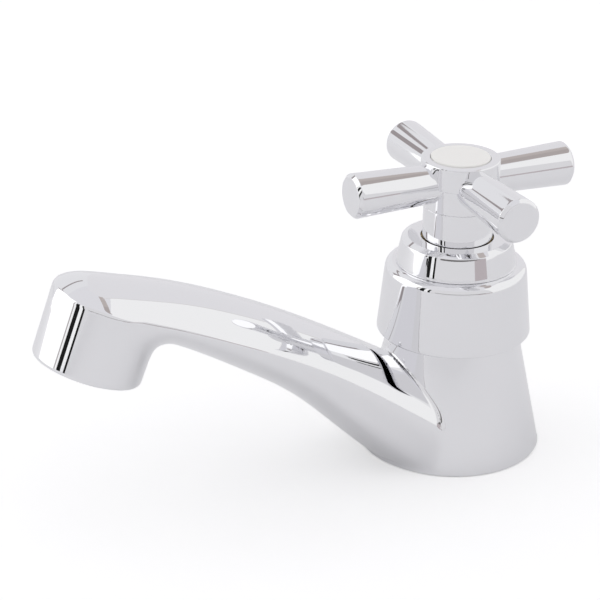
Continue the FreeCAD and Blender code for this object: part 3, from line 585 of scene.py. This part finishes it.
# %% Turned covers
lathe("shroud_skin", [
    (18.80, SHROUD_FOOT, 0.30), (20.17, SHROUD_FOOT, 0.35), (18.32, SHROUD_TOP, 2.1),
    (10.4, SHROUD_TOP, BROKEN), (10.4, 49.2, BROKEN), (16.95, 49.2, 0.8)],
    "body", ["shroud"], "polished_chrome", around=256)
lathe("collar_skin", [
    (10.04, SHROUD_TOP, BROKEN), (15.8, SHROUD_TOP, 0.30), (14.4, 57.4, 0.40),
    (12.8, COLLAR_TOP, 0.30), (9.45, COLLAR_TOP, 0.25), (9.45, 56.4, BROKEN),
    (10.04, 56.4, BROKEN)],
    "body", ["collar"], "polished_chrome", around=256)
lathe("skirt_skin", [
    (7.65, SKIRT_FOOT, BROKEN), (SKIRT_R, SKIRT_FOOT, 0.15), (SKIRT_R, SKIRT_TOP, 0.15),
    (7.65, SKIRT_TOP, BROKEN)],
    "handle", ["handle_skirt"], "polished_chrome")
lathe("hub_skin", [
    (6.0, 59.0, BROKEN), (7.6, 59.0, 0.2), (7.6, SKIRT_TOP, FINE), (SKIRT_R, SKIRT_TOP, 0.15),
    (SKIRT_R, HUB_STEP, 0.25), (RIM_R, HUB_STEP, 0.20), (RIM_R, HUB_TOP, 0.40),
    (7.75, HUB_TOP, 0.30), (7.75, INDEX_SEAT, FINE), (4.2, INDEX_SEAT, BROKEN),
    (4.2, 71.05, BROKEN), (2.35, 71.05, FINE), (2.35, 68.65, FINE), (6.0, 68.65, BROKEN)],
    "handle", ["handle_hub"], "polished_chrome", around=224)

# %% [markdown]
# ## The four arms
#
# Each arm flares a little towards its end and finishes in a flat face with a narrow
# bevel. One outline does for all four: it is spun about an upright axis, laid down and
# turned to its own quarter.

# %% Arms
ARM_Z = 73.6
ARM_START, ARM_END, ARM_BEVEL = 7.6, 31.1, 0.85
ARM_ROOT_R, ARM_END_R = 5.0, 5.8
QUARTERS = {"front": -90, "right": 0, "back": 90, "left": 180}
for quarter, angle in QUARTERS.items():
    lay_down = Matrix.Rotation(math.radians(angle), 3, "Z") @ Matrix.Rotation(math.pi / 2, 3, "Y")
    arm = lathe(f"arm_{quarter}_skin", [
        (0.0, ARM_START, 0.0), (ARM_ROOT_R, ARM_START, BROKEN),
        (ARM_END_R, ARM_END - ARM_BEVEL, 0.25), (ARM_END_R - ARM_BEVEL, ARM_END, 0.25),
        (0.0, ARM_END, 0.0)],
        "handle", [f"arm_{quarter}"], "polished_chrome", around=160, turn=lay_down)
    arm.data.transform(Matrix.Translation((0, 0, ARM_Z * MM)))

# %% [markdown]
# ## The index disc
#
# The pale button in the hub's rim covers the handle's screw. It is a shallow cap whose ring
# clips into the hub, and its edge is rounded, as moulded plastic is.

# %% Index disc
RING_R, RING_BORE, RING_FOOT = 4.15, 3.15, 76.45
lathe("index_skin", [
    (0.0, INDEX_TOP, 0.0), (INDEX_R, INDEX_TOP, 0.40), (INDEX_R, INDEX_SEAT, BROKEN),
    (RING_R, INDEX_SEAT, BROKEN), (RING_R, RING_FOOT, BROKEN), (RING_BORE, RING_FOOT, BROKEN),
    (RING_BORE, INDEX_SEAT, BROKEN), (0.0, INDEX_SEAT, 0.0)],
    "handle", ["index_disc"], "ivory_plastic")

# %% [markdown]
# ## Finishes
#
# The chrome gives back nearly nine tenths of the light, slightly cold, and a wiped tap
# carries a faint haze that makes its roughness vary. The effects that several finishes
# share are node groups with named sockets: one gives the haze of wiping, one the fine
# grain of a moulded or machined surface.

# %% Shared effects


def effect(name, inputs, outputs):
    """An empty shader group with named sockets and its two end nodes."""
    group = bpy.data.node_groups.new(name, "ShaderNodeTree")
    for label, kind, default in inputs:
        socket = group.interface.new_socket(label, in_out="INPUT", socket_type=kind)
        socket.default_value = default
    for label, kind in outputs:
        group.interface.new_socket(label, in_out="OUTPUT", socket_type=kind)
    start = group.nodes.new("NodeGroupInput")
    end = group.nodes.new("NodeGroupOutput")
    return group, start, end


def add(tree, kind, **values):
    """A node with its properties and sockets set by name."""
    node = tree.nodes.new(kind)
    for key, value in values.items():
        if key in node.inputs:
            node.inputs[key].default_value = value
        else:
            setattr(node, key, value)
    return node


def wiping_haze():
    """Roughness that drifts between a low and a high value in broad soft clouds."""
    group, start, end = effect("wiping_haze", [
        ("Scale", "NodeSocketFloat", 40.0), ("Low", "NodeSocketFloat", 0.03),
        ("High", "NodeSocketFloat", 0.08)], [("Roughness", "NodeSocketFloat")])
    place = add(group, "ShaderNodeTexCoord")
    cloud = add(group, "ShaderNodeTexNoise", Detail=4.0, Roughness=0.6)
    spread = add(group, "ShaderNodeMapRange", **{"From Min": 0.35, "From Max": 0.75})
    group.links.new(place.outputs["Object"], cloud.inputs["Vector"])
    group.links.new(start.outputs["Scale"], cloud.inputs["Scale"])
    group.links.new(cloud.outputs["Fac"], spread.inputs["Value"])
    group.links.new(start.outputs["Low"], spread.inputs["To Min"])
    group.links.new(start.outputs["High"], spread.inputs["To Max"])
    group.links.new(spread.outputs["Result"], end.inputs["Roughness"])
    return group


def fine_grain():
    """A mottled mask and a small height, for cast, moulded and machined surfaces."""
    group, start, end = effect("fine_grain", [
        ("Scale", "NodeSocketFloat", 900.0), ("Stretch", "NodeSocketVector", (1, 1, 1))],
        [("Mask", "NodeSocketFloat"), ("Height", "NodeSocketFloat")])
    place = add(group, "ShaderNodeTexCoord")
    pull = add(group, "ShaderNodeVectorMath", operation="MULTIPLY")
    grain = add(group, "ShaderNodeTexNoise", Detail=5.0, Roughness=0.65)
    mottle = add(group, "ShaderNodeTexNoise", Scale=120.0, Detail=3.0)
    group.links.new(place.outputs["Object"], pull.inputs[0])
    group.links.new(start.outputs["Stretch"], pull.inputs[1])
    group.links.new(pull.outputs["Vector"], grain.inputs["Vector"])
    group.links.new(start.outputs["Scale"], grain.inputs["Scale"])
    group.links.new(place.outputs["Object"], mottle.inputs["Vector"])
    group.links.new(mottle.outputs["Fac"], end.inputs["Mask"])
    group.links.new(grain.outputs["Fac"], end.inputs["Height"])
    return group


HAZE = wiping_haze()
GRAIN = fine_grain()
print("effects:", HAZE.name, GRAIN.name)

# %% Finishes of metal, rubber, ceramic and plastic


def finish(name, colour, metallic=0.0, haze=(0.3, 0.5), grain=(900.0, 0.02), tone=0.1,
           stretch=(1, 1, 1), **extra):
    """A Principled finish: mottled colour, drifting roughness and a fine bump."""
    material = bpy.data.materials.new(name)
    material.use_nodes = True
    tree = material.node_tree
    shader = tree.nodes["Principled BSDF"]
    shader.inputs["Metallic"].default_value = metallic
    for key, value in extra.items():
        shader.inputs[key.replace("_", " ")].default_value = value
    wiped = add(tree, "ShaderNodeGroup", node_tree=HAZE)
    wiped.inputs["Low"].default_value, wiped.inputs["High"].default_value = haze
    tree.links.new(wiped.outputs["Roughness"], shader.inputs["Roughness"])
    mottled = add(tree, "ShaderNodeGroup", node_tree=GRAIN)
    mottled.inputs["Scale"].default_value = grain[0]
    mottled.inputs["Stretch"].default_value = stretch
    mix = add(tree, "ShaderNodeMix", data_type="RGBA")
    mix.inputs["A"].default_value = (*colour, 1)
    mix.inputs["B"].default_value = (*[c * (1 - tone) for c in colour], 1)
    tree.links.new(mottled.outputs["Mask"], mix.inputs["Factor"])
    tree.links.new(mix.outputs["Result"], shader.inputs["Base Color"])
    bump = add(tree, "ShaderNodeBump", Strength=grain[1], Distance=0.0002)
    tree.links.new(mottled.outputs["Height"], bump.inputs["Height"])
    tree.links.new(bump.outputs["Normal"], shader.inputs["Normal"])
    return material


FINISHES = {
    "polished_chrome": finish("polished_chrome", (0.87, 0.87, 0.885), metallic=1.0,
                              haze=(0.02, 0.05), grain=(500.0, 0.0), tone=0.01),
    "plain_brass": finish("plain_brass", (0.55, 0.42, 0.22), metallic=1.0, haze=(0.22, 0.38),
                          grain=(1500.0, 0.25), tone=0.25, stretch=(0.15, 0.15, 4)),
    "stainless_steel": finish("stainless_steel", (0.66, 0.65, 0.63), metallic=1.0,
                              haze=(0.2, 0.35), grain=(1400.0, 0.2), tone=0.12),
    "black_rubber": finish("black_rubber", (0.028, 0.028, 0.03), haze=(0.55, 0.8),
                           grain=(1200.0, 0.4), tone=0.3),
    "red_fibre": finish("red_fibre", (0.42, 0.10, 0.07), haze=(0.7, 0.9),
                        grain=(800.0, 0.5), tone=0.35),
    "pale_nylon": finish("pale_nylon", (0.80, 0.79, 0.73), haze=(0.35, 0.5),
                         grain=(700.0, 0.15), tone=0.06),
    "alumina": finish("alumina", (0.86, 0.85, 0.81), haze=(0.1, 0.2), grain=(1500.0, 0.05),
                      tone=0.04),
    "ivory_plastic": finish("ivory_plastic", (0.96, 0.95, 0.915), haze=(0.28, 0.42),
                            grain=(600.0, 0.05), tone=0.03, Coat_Weight=0.3,
                            Coat_Roughness=0.15),
}
SLOT_OF = {entry["node"]: entry["material_slot"] for entry in frame["record"]["subparts"]}
for node, thing in frame["nodes"].items():
    thing.data.materials.clear()
    thing.data.materials.append(FINISHES[SLOT_OF[node]])
for name, slot in skin_slots.items():
    bpy.data.objects[name].data.materials.append(FINISHES[slot])
print("finishes:", len(FINISHES), "on", len(SLOT_OF), "nodes and", len(skin_slots), "skins")

# %% [markdown]
# ## Studio
#
# A mirror shows its room, so the room was worked out from the tap. For each point of the
# photographed chrome the model gives the direction of the reflected ray, and the tone
# there says how bright the room is that way. That gave a pale table, a bright wide window
# behind the tap, duller walls round it, a bright screen and dark uprights ahead of the
# spout, a few brown rails and edges, and a dull patch overhead. Each is a plain card that
# glows a little. All but the table are out of the camera's sight.

# %% Cards, floor and world


def card(name, centre, size, facing, paper=(0, 0, 0), glow=(0, 0, 0), seen=True):
    """A flat card of the studio: paper that reflects its colour, or a screen that glows.

    A card that isn't seen still shows in the chrome, as a lamp out of the picture does.
    One that is seen glows for the camera alone, which bleaches the paper in the picture
    and leaves it as grey as paper is in a mirror.
    """
    mesh = bpy.data.meshes.new(name)
    half = np.array([[-1, -1, 0], [1, -1, 0], [1, 1, 0], [-1, 1, 0]], float) * 0.5
    half[:, 0] *= size[0]
    half[:, 1] *= size[1]
    turn = np.array(Vector(facing).to_track_quat("Z", "Y").to_matrix())
    mesh.from_pydata(half @ turn.T + np.array(centre), [], [(0, 1, 2, 3)])
    piece = bpy.data.objects.new(name, mesh)
    bpy.context.scene.collection.objects.link(piece)
    material = bpy.data.materials.new(name)
    material.use_nodes = True
    shader = material.node_tree.nodes["Principled BSDF"]
    shader.inputs["Base Color"].default_value = (*paper, 1)
    shader.inputs["Roughness"].default_value = 1.0
    shader.inputs["Specular IOR Level"].default_value = 0.0
    shader.inputs["Emission Color"].default_value = (*glow, 1)
    shader.inputs["Emission Strength"].default_value = 1.0
    if seen:
        path = add(material.node_tree, "ShaderNodeLightPath")
        material.node_tree.links.new(path.outputs["Is Camera Ray"],
                                     shader.inputs["Emission Strength"])
    mesh.materials.append(material)
    piece.visible_camera = seen
    return piece


def panel(name, azimuth, width, low, high, away, glow):
    """An upright card round the tap. Azimuth 0 is ahead of the spout, 90 towards +X.

    Width, low and high are angles seen from the tap; away is its distance in metres.
    """
    turn = math.radians(azimuth)
    outward = Vector((math.sin(turn), -math.cos(turn), 0))
    bottom = away * math.tan(math.radians(low))
    top = away * math.tan(math.radians(high))
    centre = outward * away + Vector((0, 0, 0.5 * (bottom + top)))
    across = 2 * away * math.tan(math.radians(width / 2))
    return card(name, centre, (across, top - bottom), -outward, glow=glow, seen=False)


def white_world(lamp_strength):
    """White to the camera and to mirrors, and an even light of its own strength elsewhere."""
    world = bpy.data.worlds.new("studio")
    bpy.context.scene.world = world
    world.use_nodes = True
    tree = world.node_tree
    back = tree.nodes["Background"]
    back.inputs["Color"].default_value = (1, 1, 1, 1)
    path = add(tree, "ShaderNodeLightPath")
    first = add(tree, "ShaderNodeMath", operation="MAXIMUM")
    either = add(tree, "ShaderNodeMath", operation="MAXIMUM")
    strength = add(tree, "ShaderNodeMapRange", **{"To Min": lamp_strength, "To Max": 1.0})
    tree.links.new(path.outputs["Is Camera Ray"], first.inputs[0])
    tree.links.new(path.outputs["Is Glossy Ray"], first.inputs[1])
    tree.links.new(first.outputs["Value"], either.inputs[0])
    tree.links.new(path.outputs["Is Transmission Ray"], either.inputs[1])
    tree.links.new(either.outputs["Value"], strength.inputs["Value"])
    tree.links.new(strength.outputs["Result"], back.inputs["Strength"])


# %% The table and the light overhead
LAMP_STRENGTH = 1.2
UP, DOWN = (0, 0, 1), (0, 0, -1)
FLOOR_Z = -0.0001
PATCH_Y, PATCH_Z, PATCH_DEPTH = 1.08, 2.20, 0.30

white_world(LAMP_STRENGTH)
card("floor", (0, 0, FLOOR_Z), (8, 8), UP, paper=(0.90, 0.90, 0.905), glow=(0.27, 0.27, 0.265))
card("ceiling", (0, 0, 2.45), (6, 6), DOWN, glow=(0.80, 0.795, 0.825), seen=False)
card("ceiling_patch", (0.30, PATCH_Y, PATCH_Z), (0.9, PATCH_DEPTH), DOWN,
     glow=(0.46, 0.416, 0.405), seen=False)
card("ceiling_patch_end", (-0.50, PATCH_Y, PATCH_Z), (0.7, PATCH_DEPTH), DOWN,
     glow=(0.53, 0.48, 0.465), seen=False)

# %% The walls
DARK = (0.015, 0.015, 0.015)
BROWN = (0.365, 0.33, 0.335)
# Azimuth, width, low and high in degrees, distance in metres, and glow.
PANELS = {
    "back_panel": (166, 92, 0, 60.3, 1.3, (0.965, 0.965, 0.965)),
    "grey_panel": (-129, 38, 0, 59, 1.4, (0.814, 0.806, 0.829)),
    "seam": (-148, 1.0, 0, 59, 1.25, (0.73, 0.715, 0.715)),
    "left_wall": (-81, 58, 0, 52, 1.25, (0.84, 0.84, 0.86)),
    "brown_wall": (-79.5, 47, 37.1, 39.6, 1.2, BROWN),
    "brown_lip": (-59, 8, 19.3, 38, 1.2, BROWN),
    "front_panel": (-27, 51, 0, 50, 0.55, (1.31, 1.31, 1.31)),
    "dark_strip": (8.9, 7.6, 0, 35, 1.0, DARK),
    "thin_strip": (20.4, 3.8, 0, 35, 1.0, DARK),
    "faint_strip": (0.4, 1.8, 0, 35, 1.0, (0.40, 0.36, 0.36)),
    "right_wall": (71, 98, 0, 52, 1.6, (0.77, 0.765, 0.78)),
    "table_edge": (70, 80, 6.1, 10, 1.0, (0.16, 0.153, 0.153)),
    "far_edge": (109, 24, 0, 6, 1.0, (0.52, 0.47, 0.485)),
}
for name, values in PANELS.items():
    panel(name, *values)
print("walls:", len(PANELS))

# %% [markdown]
# ## Camera
#
# The camera was fitted to the photograph: it looks down from the spout's right, from about
# 60 centimetres with a long lens, so the ellipses of the rims and the four arms fall
# where they do in the picture.

# %% Camera
AZIMUTH, ELEVATION, ROLL = math.radians(64.93), math.radians(24.494), math.radians(0.895)
DISTANCE, TO_LEFT, RISE = 606.203, 40.410, 35.428
SENSOR_WIDTH, FOCAL_LENGTH = 36.0, 134.99
back = np.array([math.sin(AZIMUTH) * math.cos(ELEVATION),
                 -math.cos(AZIMUTH) * math.cos(ELEVATION), math.sin(ELEVATION)])
right = np.array([math.cos(AZIMUTH), math.sin(AZIMUTH), 0.0])
up = np.array([-math.sin(AZIMUTH) * math.sin(ELEVATION),
               math.cos(AZIMUTH) * math.sin(ELEVATION), math.cos(ELEVATION)])
camera_x = right * math.cos(ROLL) + up * math.sin(ROLL)
camera_y = -right * math.sin(ROLL) + up * math.cos(ROLL)
place = back * DISTANCE - right * TO_LEFT + up * RISE
lens = bpy.data.cameras.new("camera")
lens.sensor_width, lens.lens = SENSOR_WIDTH, FOCAL_LENGTH
camera = bpy.data.objects.new("camera", lens)
bpy.context.scene.collection.objects.link(camera)
turn = Matrix(np.stack([camera_x, camera_y, back], axis=1).tolist()).to_4x4()
camera.matrix_world = Matrix.Translation(Vector(place * MM)) @ turn
bpy.context.scene.camera = camera
print("camera at", [round(v, 1) for v in place])

# %% Finish
bpy.context.scene.view_settings.view_transform = "Standard"
